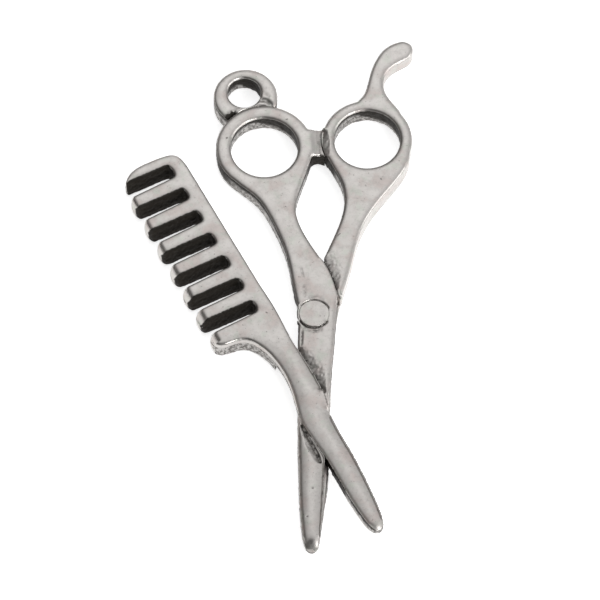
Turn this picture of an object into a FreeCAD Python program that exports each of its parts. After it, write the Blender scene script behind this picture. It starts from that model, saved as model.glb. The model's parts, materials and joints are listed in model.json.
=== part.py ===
import FreeCAD, Part
import math
import os

import Sketcher

# Miniature hair cutting shears with a comb across the blades, made as a pendant.
# It lies flat on its back: the back face is z = 0, +Y runs from the blade tips to
# the finger rings, and the origin is the middle of the hanging eye's hole.
# Outlines are drawn around the shears' pivot, and each body's Placement then moves
# that pivot to its place below the eye. All sizes are millimetres and degrees.

sizes = {
    # plate: the rear half is the lower layer, the front half the upper one
    "thickness": 2.2,
    "lap_height": 0.9,
    "lap_gap": 0.05,
    "shoulder_gap": 0.14,
    # plan of the two halves, measured from the pivot
    "blade_reach": 23.25,
    "blade_width": 3.3,
    "grip_reach": 17.1,
    "ring_radius": 4.3,
    "ring_hole": 3.0,
    "rear_stagger": 0.85,
    "rear_radius": 4.0,
    "rear_hole": 2.95,
    "ring_gap": 0.85,
    "ring_middle": 0.325,
    "opening_angle": 20,
    # pivot
    "pin_radius": 0.6,
    "running_clearance": 0.03,
    "head_radius": 1.33,
    "head_depth": 0.35,
    "head_rise": 0.15,
    "washer_radius": 1.15,
    "washer_thickness": 0.15,
    "burr_radius": 1.1,
    "burr_thickness": 0.32,
    # stop between the rings, and the finger rest on the rear ring
    "stop_rise": 1.8,
    "stop_drop": 0.8,
    "stop_step": 0.3,
    "stop_dip": 0.35,
    "stop_flare": 0.5,
    "stop_gap": 0.04,
    "rest_length": 6.0,
    "rest_width": 2.5,
    "rest_thickness": 1.8,
    # hanging eye
    "eye_angle": 17.5,
    "eye_wall": 0.18,
    "eye_bore": 1.5,
    "eye_rim": 1.34,
    "eye_drop": 0.4,
    "eye_shift": 0.12,
    "eye_thickness": 2.1,
    # comb, drawn along its own spine and leaning to the left
    "comb_lean": 28,
    "comb_left": 0.6,
    "comb_down": 7.7,
    "comb_back": 1.35,
    "end_tooth": 1.0,
    "guard_tooth": 1.75,
    "tail_reach": 15.25,
    "tail_floor": 0.6,
    "tooth_reach": 5.0,
    "tooth_rounding": 0.42,
    "slot_end": 0.12,
    "slot_bend": 0.4,
    "slot_width": 1.18,
    "slot_flare": 0.12,
    "slot_pitch": 2.605,
    "slot_count": 7,
    "first_slot": 9.73,
    "comb_floor": 1.5,
    "sweep_length": 12,
    # pegs that place the comb on the front blade
    "peg_radius": 0.3,
    "peg_share": 0.52,
    "peg_upper": 0.5,
    "peg_lower": 2.2,
    "peg_across": 0.1,
}

doc = FreeCAD.newDocument("comb_and_shears_pendant")
sheet = doc.addObject("Spreadsheet::Sheet", "Sizes")
for row, (alias, size) in enumerate(sizes.items(), start=1):
    sheet.set(f"A{row}", alias)
    sheet.set(f"B{row}", str(size))
    sheet.setAlias(f"B{row}", alias)
doc.recompute()


# ---- formulas that several pieces share ----

front_floor = "(Sizes.lap_height + Sizes.lap_gap)"
gap = "Sizes.shoulder_gap"
pivot = ("0", "0")
ring_spread = "(Sizes.ring_radius + Sizes.ring_gap / 2 - Sizes.ring_middle)"
rear_spread = "(Sizes.rear_radius + Sizes.ring_gap / 2 + Sizes.ring_middle)"
front_ring = ("-" + ring_spread, "Sizes.grip_reach")
rear_ring = (rear_spread, "(Sizes.grip_reach + Sizes.rear_stagger)")
eye_distance = "(Sizes.ring_radius + Sizes.eye_wall + Sizes.eye_bore)"
eye_left = f"({ring_spread} + {eye_distance} * sin(Sizes.eye_angle * 1 deg))"
eye_up = f"(Sizes.grip_reach + {eye_distance} * cos(Sizes.eye_angle * 1 deg))"
comb_head = ("(Sizes.first_slot + (Sizes.slot_count - 1) * Sizes.slot_pitch"
             " + Sizes.slot_width / 2 + Sizes.end_tooth)")
guard_foot = "(Sizes.first_slot - Sizes.slot_width / 2 - Sizes.guard_tooth)"
peg_in_comb = "(Sizes.peg_share * (Sizes.thickness - Sizes.comb_floor))"
peg_in_blade = f"(Sizes.peg_share * (Sizes.comb_floor - {front_floor}))"


def value(formula):
    return float(sheet.evalExpression(formula))


def bind(item, path, formula):
    item.setExpression(path, formula)


# ---- places, as pairs of formulas: shares of the driving sizes ----

def blade(across, along):
    return f"{across} * Sizes.blade_width", f"-{along} * Sizes.blade_reach"


def crossing(across, along):
    return f"{across} * Sizes.blade_width", f"{along} * Sizes.grip_reach"


def left_shank(across, along):
    return f"-{across} * {ring_spread}", f"{along} * Sizes.grip_reach"


def right_shank(across, along):
    return f"{across} * {rear_spread}", f"{along} * Sizes.grip_reach"


def in_comb(across, along):
    return f"{across} * Sizes.comb_back", f"{along}"


def finger_rest(across, along):
    return (f"{rear_spread} + {across} * Sizes.rest_width",
            f"{rear_ring[1]} + Sizes.rear_radius + {along} * Sizes.rest_length")


def shifted(point, right, up):
    return f"{point[0]} + {right}", f"{point[1]} + {up}"


# ---- sketches ----

def origin_plane(body):
    for feature in body.Origin.OriginFeatures:
        if feature.Role == "XY_Plane":
            return feature
    raise RuntimeError("no XY plane in " + body.Name)


def add_sketch(body, name, height="0", comb_frame=False):
    sketch = body.newObject("Sketcher::SketchObject", name)
    sketch.AttachmentSupport = [(origin_plane(body), "")]
    sketch.MapMode = "FlatFace"
    bind(sketch, ".AttachmentOffset.Base.z", height)
    if comb_frame:
        lean = FreeCAD.Rotation(FreeCAD.Vector(0, 0, 1), value("Sizes.comb_lean"))
        sketch.AttachmentOffset = FreeCAD.Placement(FreeCAD.Vector(), lean)
        bind(sketch, ".AttachmentOffset.Base.x", "-Sizes.comb_left")
        bind(sketch, ".AttachmentOffset.Base.y", "-Sizes.comb_down")
        bind(sketch, ".AttachmentOffset.Base.z", height)
        bind(sketch, ".AttachmentOffset.Rotation.Angle", "Sizes.comb_lean")
    return sketch


def vector(point):
    return FreeCAD.Vector(value(point[0]), value(point[1]), 0)


def pin(sketch, geometry, end, point):
    for kind, formula in zip(("DistanceX", "DistanceY"), point):
        rule = Sketcher.Constraint(kind, -1, 1, geometry, end, value(formula))
        number = sketch.addConstraint(rule)
        bind(sketch, f"Constraints[{number}]", formula)


def add_circle(sketch, centre, radius):
    circle = Part.Circle(vector(centre), FreeCAD.Vector(0, 0, 1), value(radius))
    number = sketch.addGeometry(circle, False)
    rule = sketch.addConstraint(Sketcher.Constraint("Radius", number, value(radius)))
    bind(sketch, f"Constraints[{rule}]", radius)
    pin(sketch, number, 3, centre)


def add_outline(sketch, *stretches):
    """Close an outline from stretches of points: two points make a straight line,
    more are the control points of one smooth curve."""
    ends = []
    for points in stretches:
        places = [vector(point) for point in points]
        if len(points) == 2:
            number = sketch.addGeometry(Part.LineSegment(*places), False)
            pin(sketch, number, 1, points[0])
        else:
            degree = min(3, len(points) - 1)
            curve = Part.BSplineCurve(places, None, None, False, degree, None, False)
            number = sketch.addGeometry(curve, False)
            sketch.exposeInternalGeometry(number)
            for step, point in enumerate(points):
                pin(sketch, number + 1 + step, 3, point)
        ends.append((number, len(points)))
    for (this, this_points), (after, after_points) in zip(ends, ends[1:] + ends[:1]):
        if this_points == 2:
            sketch.addConstraint(Sketcher.Constraint("Coincident", this, 2, after, 1))


def add_polygon(sketch, points):
    pairs = zip(points, points[1:] + points[:1])
    add_outline(sketch, *[[start, end] for start, end in pairs])


# ---- bodies and features ----

bodies = []


def new_body(label):
    body = doc.addObject("PartDesign::Body", label)
    body.Label = label
    bind(body, ".Placement.Base.x", eye_left)
    bind(body, ".Placement.Base.y", "-" + eye_up)
    bodies.append(body)
    return body


def check(feature):
    doc.recompute()
    if "Invalid" in feature.State or "Error" in feature.State:
        raise RuntimeError(feature.Name + " failed")
    if feature.Shape.isNull() or not feature.Shape.isValid():
        raise RuntimeError(feature.Name + " has no valid shape")


def pad(body, name, sketch, length):
    feature = body.newObject("PartDesign::Pad", name)
    feature.Profile = sketch
    bind(feature, "Length", length)
    check(feature)
    return feature


def pocket(body, name, sketch, depth, upward=False):
    """Cut from the sketch's plane, down unless told otherwise."""
    before = body.Shape.Volume
    feature = body.newObject("PartDesign::Pocket", name)
    feature.Profile = sketch
    feature.Reversed = upward
    bind(feature, "Length", depth)
    check(feature)
    if not feature.Shape.Volume < before:
        raise RuntimeError(name + " cuts nothing")
    return feature


def round_pad(body, name, centre, radius, length, height="0"):
    sketch = add_sketch(body, name + "_plan", height)
    add_circle(sketch, centre, radius)
    return pad(body, name, sketch, length)


def round_pocket(body, name, centre, radius, depth, height="0"):
    """A round hole cut upward from the given height."""
    sketch = add_sketch(body, name + "_plan", height)
    add_circle(sketch, centre, radius)
    return pocket(body, name, sketch, depth, upward=True)


# Left edge of the front half, from the ring down past the pivot to the tip.
front_left_shank = [left_shank(1.9, 0.9), left_shank(1.66, 0.8), left_shank(1.2, 0.73),
                    left_shank(0.94, 0.62), left_shank(0.7, 0.48)]
front_left_blade = [crossing(-0.68, 0.34), crossing(-0.54, 0.14), crossing(-0.4, 0.02),
                    blade(-0.42, 0.06), blade(-0.44, 0.2), blade(-0.43, 0.45),
                    blade(-0.41, 0.62), blade(-0.39, 0.8), blade(-0.34, 0.92),
                    blade(-0.24, 1.005), blade(-0.03, 1.0)]
# Right edge, from the tip back up over the pivot to the ring.
front_right_blade = [blade(-0.03, 1.0), blade(0.14, 1.0), blade(0.19, 0.93),
                     blade(0.24, 0.8), blade(0.29, 0.62), blade(0.36, 0.44),
                     blade(0.46, 0.28), blade(0.56, 0.12), blade(0.6, 0.01),
                     crossing(0.63, 0.09), crossing(0.55, 0.17), crossing(0.41, 0.25),
                     crossing(0.2, 0.33), crossing(-0.03, 0.4)]
front_right_shank = [left_shank(0.26, 0.51), left_shank(0.39, 0.62),
                     left_shank(0.36, 0.7), left_shank(0.19, 0.82), left_shank(0.06, 0.93)]

# Left edge of the rear half, from its ring down under the front half to the tip.
rear_left_shank = [right_shank(0.21, 0.99), right_shank(0.24, 0.94),
                   right_shank(0.42, 0.86), right_shank(0.57, 0.76),
                   right_shank(0.59, 0.65), right_shank(0.46, 0.52),
                   right_shank(0.28, 0.4)]
rear_left_blade = [crossing(0.22, 0.31), crossing(0.02, 0.23), crossing(-0.27, 0.14),
                   crossing(-0.41, 0.03), blade(-0.43, 0.08), blade(-0.45, 0.3),
                   blade(-0.45, 0.6), blade(-0.41, 0.8), blade(-0.36, 0.92),
                   blade(-0.24, 0.99), blade(-0.04, 0.99)]
rear_right_blade = [blade(-0.04, 0.99), blade(0.13, 0.99), blade(0.23, 0.88),
                    blade(0.33, 0.78), blade(0.41, 0.68), blade(0.43, 0.5),
                    blade(0.46, 0.3), blade(0.54, 0.12), blade(0.6, 0.0),
                    crossing(0.7, 0.09)]
rear_right_shank = [crossing(0.84, 0.17), right_shank(0.71, 0.31), right_shank(0.8, 0.45),
                    right_shank(1.0, 0.59), right_shank(1.32, 0.72),
                    right_shank(1.67, 0.84), right_shank(1.83, 0.94),
                    right_shank(1.78, 1.0)]


def joined(*stretches):
    points = []
    for stretch in stretches:
        points += [point for point in stretch if point not in points[-1:]]
    return points


front_left = joined(front_left_shank, front_left_blade)
front_right = joined(front_right_blade, front_right_shank)
rear_left = joined(rear_left_shank, rear_left_blade)
rear_right = joined(rear_right_blade, rear_right_shank)


def front_plan(sketch):
    add_outline(sketch, front_left, front_right, [front_right[-1], front_left[0]])


def rear_plan(sketch):
    add_outline(sketch, rear_left, rear_right, [rear_right[-1], rear_left[0]])


# The shoulders where each half steps down to its own layer. They follow the other
# half's edge across the lap, one shoulder gap clear of it.
front_shoulder = [shifted(point, "-" + gap, gap) for point in
                  (crossing(-1.2, 0.02), crossing(-0.47, 0.06), crossing(-0.27, 0.15),
                   crossing(0.02, 0.24), crossing(0.2, 0.32), right_shank(0.3, 0.42))]
rear_shoulder = [shifted(point, gap, gap) for point in
                 (crossing(-0.3, 0.48), crossing(0.0, 0.4), crossing(0.22, 0.33),
                  crossing(0.42, 0.25), crossing(0.56, 0.17), crossing(0.64, 0.09),
                  crossing(0.72, 0.02), crossing(1.2, -0.02))]


def lap_plan(sketch, shoulder):
    """Everything below a shoulder, past the blade tips and both sides."""
    side = "1.5 * Sizes.blade_width"
    foot = "-1.1 * Sizes.blade_reach"
    left_foot = ("-" + side, foot)
    right_foot = (side, foot)
    left_top = ("-" + side, shoulder[0][1])
    right_top = (side, shoulder[-1][1])
    add_outline(sketch, [left_top, shoulder[0]], shoulder, [shoulder[-1], right_top],
                [right_top, right_foot], [right_foot, left_foot], [left_foot, left_top])


def comb_plan(sketch):
    """The whole comb, along its own spine: teeth to the left, tail downward."""
    head = comb_head
    tips = "-Sizes.tooth_reach"
    back = "Sizes.comb_back"
    tail = "-Sizes.tail_reach"
    add_outline(
        sketch,
        [(back, head + " - 2"), (back, "Sizes.first_slot + 1.5")],
        [(back, "Sizes.first_slot + 1.5"), in_comb(1.08, 9), in_comb(0.98, 7),
         in_comb(0.84, 5), in_comb(0.97, 3), in_comb(0.97, 1), in_comb(0.9, -1),
         in_comb(0.42, -3), in_comb(0.34, -5.5), in_comb(0.36, -8),
         ("0.12 * " + back, "0.78 * " + tail), ("-0.1 * " + back, "0.93 * " + tail),
         ("-0.3 * " + back, "1.01 * " + tail), ("-0.75 * " + back, "1.01 * " + tail)],
        [("-0.75 * " + back, "1.01 * " + tail), ("-1.15 * " + back, "1.0 * " + tail),
         ("-1.32 * " + back, "0.85 * " + tail), ("-1.35 * " + back, "0.68 * " + tail),
         in_comb(-1.26, -7.5), in_comb(-1.38, -4.6), in_comb(-1.55, -2.6),
         in_comb(-1.05, -0.6), in_comb(-0.68, 1.6), in_comb(-0.68, 4),
         ("-1.15 * " + back, guard_foot + " - 1"), ("-1.9 * " + back, guard_foot),
         (tips + " + 1.1", guard_foot)],
        [(tips + " + 1.1", guard_foot), (tips + " + 0.2", guard_foot),
         (tips + " + 0.1", guard_foot + " + 0.9")],
        [(tips + " + 0.1", guard_foot + " + 0.9"), (tips, guard_foot + " + 2.5")],
        [(tips, guard_foot + " + 2.5"), (tips + " + 0.4", head + " - 2.1")],
        [(tips + " + 0.4", head + " - 2.1"), (tips + " + 0.35", head + " - 1.3"),
         (tips + " + 1.0", head + " - 0.2"), (tips + " + 2.6", head + " + 0.18"),
         ("-0.9", head + " + 0.05"), ("0.6 * " + back, head), (back, head + " - 0.8"),
         (back, head + " - 2")])


def peg_places():
    across = "Sizes.peg_across"
    return [(across, "Sizes.peg_upper"), (across, "-Sizes.peg_lower")]


def peg_sketch(body, name, height):
    sketch = add_sketch(body, name, height, comb_frame=True)
    for place in peg_places():
        add_circle(sketch, place, "Sizes.peg_radius")
    return sketch


# ---- front half: ring, shank and upper blade ----

front = new_body("front_half")
outline = add_sketch(front, "front_outline")
front_plan(outline)
pad(front, "front_plate", outline, "Sizes.thickness")
round_pad(front, "front_ring", front_ring, "Sizes.ring_radius", "Sizes.thickness")
lap = add_sketch(front, "front_lap_outline")
lap_plan(lap, front_shoulder)
pocket(front, "front_lap", lap, front_floor, upward=True)
round_pocket(front, "front_finger_hole", front_ring, "Sizes.ring_hole",
             "Sizes.thickness")
channel = add_sketch(front, "comb_channel_outline", "Sizes.comb_floor", comb_frame=True)
comb_plan(channel)
pocket(front, "comb_channel", channel, "Sizes.thickness", upward=True)
round_pocket(front, "pin_bore", pivot, "Sizes.pin_radius", "Sizes.thickness")
round_pocket(front, "head_seat", pivot, "Sizes.head_radius", "Sizes.head_depth",
             "Sizes.thickness - Sizes.head_depth")
round_pocket(front, "washer_seat", pivot, "Sizes.washer_radius",
             "Sizes.washer_thickness - Sizes.lap_gap", front_floor)
pocket(front, "peg_holes", peg_sketch(front, "peg_hole_plan", "Sizes.comb_floor"),
       peg_in_blade)

# ---- rear half: ring, shank and lower blade ----

rear = new_body("rear_half")
outline = add_sketch(rear, "rear_outline")
rear_plan(outline)
pad(rear, "rear_plate", outline, "Sizes.thickness")
round_pad(rear, "rear_ring", rear_ring, "Sizes.rear_radius", "Sizes.thickness")
lap = add_sketch(rear, "rear_lap_outline", "Sizes.lap_height")
lap_plan(lap, rear_shoulder)
pocket(rear, "rear_lap", lap, "Sizes.thickness", upward=True)
round_pocket(rear, "rear_finger_hole", rear_ring, "Sizes.rear_hole", "Sizes.thickness")
round_pocket(rear, "running_bore", pivot, "Sizes.pin_radius + Sizes.running_clearance",
             "Sizes.thickness")
round_pocket(rear, "burr_seat", pivot, "Sizes.burr_radius + Sizes.running_clearance",
             "Sizes.burr_thickness + Sizes.running_clearance")

# ---- pivot ----

rivet = new_body("pivot_rivet")
round_pad(rivet, "pin", pivot, "Sizes.pin_radius", "Sizes.thickness")
round_pad(rivet, "head", pivot, "Sizes.head_radius", "Sizes.head_depth + Sizes.head_rise",
          "Sizes.thickness - Sizes.head_depth")

washer = new_body("pivot_washer")
round_pad(washer, "washer_disc", pivot, "Sizes.washer_radius", "Sizes.washer_thickness",
          "Sizes.lap_height")
round_pocket(washer, "washer_hole", pivot, "Sizes.pin_radius", "Sizes.washer_thickness",
             "Sizes.lap_height")

burr = new_body("rivet_burr")
round_pad(burr, "burr_disc", pivot, "Sizes.burr_radius", "Sizes.burr_thickness")
round_pocket(burr, "burr_hole", pivot, "Sizes.pin_radius", "Sizes.burr_thickness")

# ---- stop between the rings ----

stop = new_body("ring_stop")
outline = add_sketch(stop, "stop_outline")
left_end = f"-0.3 * {ring_spread}"
right_end = f"0.35 * {rear_spread}"
stop_top = "Sizes.grip_reach + Sizes.stop_rise"
stop_foot = "Sizes.grip_reach - Sizes.stop_drop"
stop_middle = "(Sizes.ring_middle + Sizes.stop_gap)"
# Its upper and lower faces are hollow, so it runs into the left ring with a fillet.
add_outline(outline,
            [(left_end, stop_foot + " - Sizes.stop_flare"),
             (stop_middle, stop_foot + " + Sizes.stop_dip"), (right_end, stop_foot)],
            [(right_end, stop_foot), (right_end, stop_top + " + Sizes.stop_flare")],
            [(right_end, stop_top + " + Sizes.stop_flare"),
             (stop_middle, stop_top + " - Sizes.stop_dip"),
             (left_end, stop_top + " + Sizes.stop_flare")],
            [(left_end, stop_top + " + Sizes.stop_flare"),
             (left_end, stop_foot + " - Sizes.stop_flare")])
pad(stop, "stop_block", outline, "Sizes.thickness - Sizes.stop_step")
round_pocket(stop, "front_ring_seat", front_ring, "Sizes.ring_radius", "Sizes.thickness")
round_pocket(stop, "rear_ring_face", rear_ring, "Sizes.rear_radius + Sizes.stop_gap",
             "Sizes.thickness")

# ---- finger rest on the rear ring ----

rest = new_body("finger_rest")
outline = add_sketch(rest, "rest_outline", "Sizes.thickness - Sizes.rest_thickness")
rest_left = [finger_rest(-0.7, -0.12), finger_rest(-0.34, 0.0), finger_rest(-0.12, 0.07),
             finger_rest(0.02, 0.27), finger_rest(0.1, 0.47), finger_rest(0.3, 0.73),
             finger_rest(0.72, 0.98), finger_rest(1.25, 1.03)]
rest_right = [finger_rest(1.25, 1.03), finger_rest(1.68, 1.0), finger_rest(1.66, 0.77),
              finger_rest(1.3, 0.68), finger_rest(0.85, 0.58), finger_rest(0.6, 0.43),
              finger_rest(0.55, 0.23), finger_rest(0.75, 0.03), finger_rest(1.14, -0.15),
              finger_rest(1.3, -0.27)]
add_outline(outline, rest_left, rest_right, [rest_right[-1], rest_left[0]])
pad(rest, "rest_plate", outline, "Sizes.rest_thickness")
round_pocket(rest, "rest_seat", rear_ring, "Sizes.rear_radius", "Sizes.thickness")

# ---- hanging eye ----

eye = new_body("hanging_eye")
eye_centre = ("-" + eye_left, eye_up)
rim_centre = (f"Sizes.eye_shift - {eye_left}", f"{eye_up} - Sizes.eye_drop")
round_pad(eye, "eye_disc", rim_centre, "Sizes.eye_bore + Sizes.eye_rim",
          "Sizes.eye_thickness")
round_pocket(eye, "eye_hole", eye_centre, "Sizes.eye_bore", "Sizes.eye_thickness")
round_pocket(eye, "eye_seat", front_ring, "Sizes.ring_radius", "Sizes.eye_thickness")

# ---- comb ----

comb = new_body("comb")
outline = add_sketch(comb, "comb_outline", comb_frame=True)
comb_plan(outline)
pad(comb, "comb_plate", outline, "Sizes.thickness")
slot = add_sketch(comb, "slot_outline", comb_frame=True)
past_tips = "-Sizes.tooth_reach - 1"
bend = "Sizes.slot_end - Sizes.slot_bend"


def slot_side(side, flare=""):
    return f"Sizes.first_slot {side} (Sizes.slot_width / 2 {flare})"


add_outline(slot,
            [(past_tips, slot_side("-", "+ Sizes.slot_flare")), (bend, slot_side("-"))],
            [(bend, slot_side("-")), ("Sizes.slot_end", slot_side("-")),
             ("Sizes.slot_end", slot_side("+")), (bend, slot_side("+"))],
            [(bend, slot_side("+")), (past_tips, slot_side("+", "+ Sizes.slot_flare"))],
            [(past_tips, slot_side("+", "+ Sizes.slot_flare")),
             (past_tips, slot_side("-", "+ Sizes.slot_flare"))])
slot_cut = pocket(comb, "slot_cut", slot, "Sizes.thickness", upward=True)
slots = comb.newObject("PartDesign::LinearPattern", "slots")
slots.Originals = [slot_cut]
slots.Direction = (slot, ["V_Axis"])
slots.Mode = "Spacing"
bind(slots, "Offset", "Sizes.slot_pitch")
bind(slots, "Occurrences", "Sizes.slot_count")
comb.Tip = slots
check(slots)


def is_tooth_corner(edge):
    """An upright edge at the teeth's ends."""
    start = edge.Vertexes[0].Point
    end = edge.Vertexes[-1].Point
    if abs(start.x - end.x) + abs(start.y - end.y) > 0.001:
        return False
    lean = math.radians(value("Sizes.comb_lean"))
    right = start.x + value("Sizes.comb_left")
    up = start.y + value("Sizes.comb_down")
    across = right * math.cos(lean) + up * math.sin(lean)
    along = up * math.cos(lean) - right * math.sin(lean)
    return across < value("-Sizes.tooth_reach + 0.5") and along > value("Sizes.first_slot - 1")


corners = [f"Edge{number}" for number, edge in enumerate(slots.Shape.Edges, start=1)
           if is_tooth_corner(edge)]
tooth_ends = comb.newObject("PartDesign::Fillet", "tooth_ends")
tooth_ends.Base = (slots, corners)
bind(tooth_ends, "Radius", "Sizes.tooth_rounding")
check(tooth_ends)

# The comb lies over both blades: a channel for the front blade, and clear room
# below for the rear blade from closed to fully open, where it meets the comb's root.
# Past the blades the tail keeps to the upper part of the pendant's thickness.
channel = add_sketch(comb, "blade_channel_outline")
front_plan(channel)
pocket(comb, "blade_channel", channel, "Sizes.comb_floor", upward=True)


def open_edge(along):
    """A point on the rear blade's left edge, with the shears fully open."""
    swing = "Sizes.opening_angle * 1 deg"
    out = f"(0.45 * Sizes.blade_width + {gap})"
    return (f"-{out} * cos({swing}) - {along} * sin({swing})",
            f"{out} * sin({swing}) - {along} * cos({swing})")


sweep = add_sketch(comb, "sweep_outline")
sweep_right = [shifted(blade(0.43, 0.72), gap, "0"), shifted(blade(0.44, 0.5), gap, "0"),
               shifted(blade(0.56, 0.12), gap, "0"), shifted(blade(0.6, 0.0), gap, "0")]
sweep_foot = open_edge("Sizes.sweep_length")
add_outline(sweep, [open_edge(0), sweep_foot], [sweep_foot, sweep_right[0]],
            sweep_right, [sweep_right[-1], open_edge(0)])
pocket(comb, "blade_sweep", sweep, front_floor, upward=True)
underside = add_sketch(comb, "tail_underside_outline")
past_tail = ("Sizes.tail_reach", "-1.2 * (Sizes.comb_down + Sizes.tail_reach)")
beside_pivot = ("Sizes.tail_reach", "0")
add_polygon(underside, [open_edge(0), open_edge("Sizes.tail_reach"),
                        ("0", past_tail[1]), past_tail, beside_pivot])
pocket(comb, "tail_underside", underside, "Sizes.tail_floor", upward=True)
pocket(comb, "comb_peg_holes", peg_sketch(comb, "comb_peg_plan", "Sizes.comb_floor"),
       peg_in_comb, upward=True)

pegs = new_body("comb_pegs")
pegs.AllowCompound = True
pegs_plan = peg_sketch(pegs, "peg_plan", f"Sizes.comb_floor - {peg_in_blade}")
pad(pegs, "peg_pair", pegs_plan, f"{peg_in_blade} + {peg_in_comb}")

doc.recompute()
for item in doc.Objects:
    if "Invalid" in item.State or "Error" in item.State:
        raise RuntimeError(item.Name + " failed")
os.makedirs("parts", exist_ok=True)
for body in bodies:
    shape = body.Shape
    if shape.isNull() or not shape.isValid():
        raise RuntimeError(body.Label + " has no valid shape")
    shape.exportStep(f"parts/{body.Label}.step")
    box = shape.BoundBox
    print(f"{body.Label}: {len(shape.Solids)} solid, {shape.Volume:.2f} mm3, "
          f"x {box.XMin:.2f}..{box.XMax:.2f}, y {box.YMin:.2f}..{box.YMax:.2f}, "
          f"z {box.ZMin:.2f}..{box.ZMax:.2f}")
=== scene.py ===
import json
import math

import bpy
import numpy as np
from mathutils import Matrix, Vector
from mathutils.bvhtree import BVHTree
from mathutils.kdtree import KDTree


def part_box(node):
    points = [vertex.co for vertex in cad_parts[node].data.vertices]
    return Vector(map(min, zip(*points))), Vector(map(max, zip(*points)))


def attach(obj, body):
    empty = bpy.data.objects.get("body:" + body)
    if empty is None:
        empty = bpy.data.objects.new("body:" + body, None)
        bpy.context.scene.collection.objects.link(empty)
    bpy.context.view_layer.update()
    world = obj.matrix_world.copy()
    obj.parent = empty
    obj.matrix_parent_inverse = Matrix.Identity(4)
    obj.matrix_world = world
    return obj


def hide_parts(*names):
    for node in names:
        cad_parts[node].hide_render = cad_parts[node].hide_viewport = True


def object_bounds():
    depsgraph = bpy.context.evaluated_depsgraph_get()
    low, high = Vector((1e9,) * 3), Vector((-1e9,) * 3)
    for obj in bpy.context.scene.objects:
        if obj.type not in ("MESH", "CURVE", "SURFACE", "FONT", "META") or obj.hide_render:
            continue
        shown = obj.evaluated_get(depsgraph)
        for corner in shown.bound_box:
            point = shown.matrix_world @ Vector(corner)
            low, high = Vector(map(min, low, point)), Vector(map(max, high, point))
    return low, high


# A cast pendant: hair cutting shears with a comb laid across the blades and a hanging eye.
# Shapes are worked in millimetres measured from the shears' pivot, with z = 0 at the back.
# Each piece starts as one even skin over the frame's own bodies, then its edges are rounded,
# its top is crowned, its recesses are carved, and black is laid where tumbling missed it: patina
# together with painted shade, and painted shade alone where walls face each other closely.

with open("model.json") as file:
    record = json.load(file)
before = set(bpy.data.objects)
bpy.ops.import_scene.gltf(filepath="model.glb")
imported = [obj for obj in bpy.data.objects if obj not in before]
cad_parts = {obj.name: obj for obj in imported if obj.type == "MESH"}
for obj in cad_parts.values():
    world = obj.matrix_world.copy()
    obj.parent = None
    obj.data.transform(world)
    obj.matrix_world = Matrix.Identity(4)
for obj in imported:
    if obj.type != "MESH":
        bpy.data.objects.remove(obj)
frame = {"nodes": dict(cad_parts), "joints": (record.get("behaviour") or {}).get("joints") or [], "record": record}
cadLow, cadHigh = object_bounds()
mm = 0.001
pivot = np.array(frame["joints"][0]["pos_m"]) / mm
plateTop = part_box("front_half")[1].z / mm
lapHeight = 0.99  # the two halves' walls face each other above this height
random = np.random.default_rng(7)


def smoothStep(value, start, end):
    share = np.clip((value - start) / (end - start), 0, 1)
    return share * share * (3 - 2 * share)


def readPoints(mesh):
    points = np.empty(len(mesh.vertices) * 3)
    mesh.vertices.foreach_get("co", points)
    return points.reshape(-1, 3)


def writePoints(mesh, points):
    mesh.vertices.foreach_set("co", points.astype(np.float32).ravel())
    mesh.update()


def readNormals(mesh):
    normals = np.empty(len(mesh.vertices) * 3)
    mesh.vertex_normals.foreach_get("vector", normals)
    return normals.reshape(-1, 3)


def evenSkin(nodes, cell, reshape):
    # the nodes' shapes in millimetres from the pivot, covered together in one skin of even faces
    points, faces = [], []
    for node in nodes:
        source = frame["nodes"][node].data
        own = readPoints(source) / mm - pivot
        if node in reshape:
            reshape[node](own)
        faces += [[corner + len(points) for corner in face.vertices] for face in source.polygons]
        points += own.tolist()
    rough = bpy.data.meshes.new("rough")
    rough.from_pydata(points, [], faces)
    holder = bpy.data.objects.new("holder", rough)
    bpy.context.scene.collection.objects.link(holder)
    weld = holder.modifiers.new("weld", "WELD")
    weld.merge_threshold = 0.002
    cover = holder.modifiers.new("cover", "REMESH")
    cover.mode = "VOXEL"
    cover.voxel_size = cell
    bpy.context.view_layer.update()
    covered = holder.evaluated_get(bpy.context.evaluated_depsgraph_get())
    mesh = bpy.data.meshes.new_from_object(covered)
    bpy.data.objects.remove(holder)
    return mesh


def relax(points, edges, turns, shareAt):
    # each turn moves every point part of the way to the middle of its neighbours
    first, second = edges[:, 0], edges[:, 1]
    total = len(points)
    neighbours = np.bincount(first, minlength=total) + np.bincount(second, minlength=total)
    for turn in range(turns):
        share = shareAt(turn, points)
        middle = np.empty_like(points)
        for axis in range(3):
            middle[:, axis] = (np.bincount(first, points[second, axis], total)
                               + np.bincount(second, points[first, axis], total))
        points += (middle / neighbours[:, None] - points) * share[:, None]
    return points


def latticeNoise(points, size, seed):
    # smooth noise from -1 to 1 with lumps of the given size
    table = np.random.default_rng(seed).random(4096) * 2 - 1
    spot = points / size
    corner = np.floor(spot).astype(np.int64)
    inside = spot - corner
    inside = inside * inside * (3 - 2 * inside)
    result = np.zeros(len(points))
    for x in (0, 1):
        for y in (0, 1):
            for z in (0, 1):
                cell = corner + (x, y, z)
                key = (cell[:, 0] * 73856093 ^ cell[:, 1] * 19349663 ^ cell[:, 2] * 83492791) % 4096
                weight = (np.abs(1 - x - inside[:, 0]) * np.abs(1 - y - inside[:, 1])
                          * np.abs(1 - z - inside[:, 2]))
                result += table[key] * weight
    return result


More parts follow.
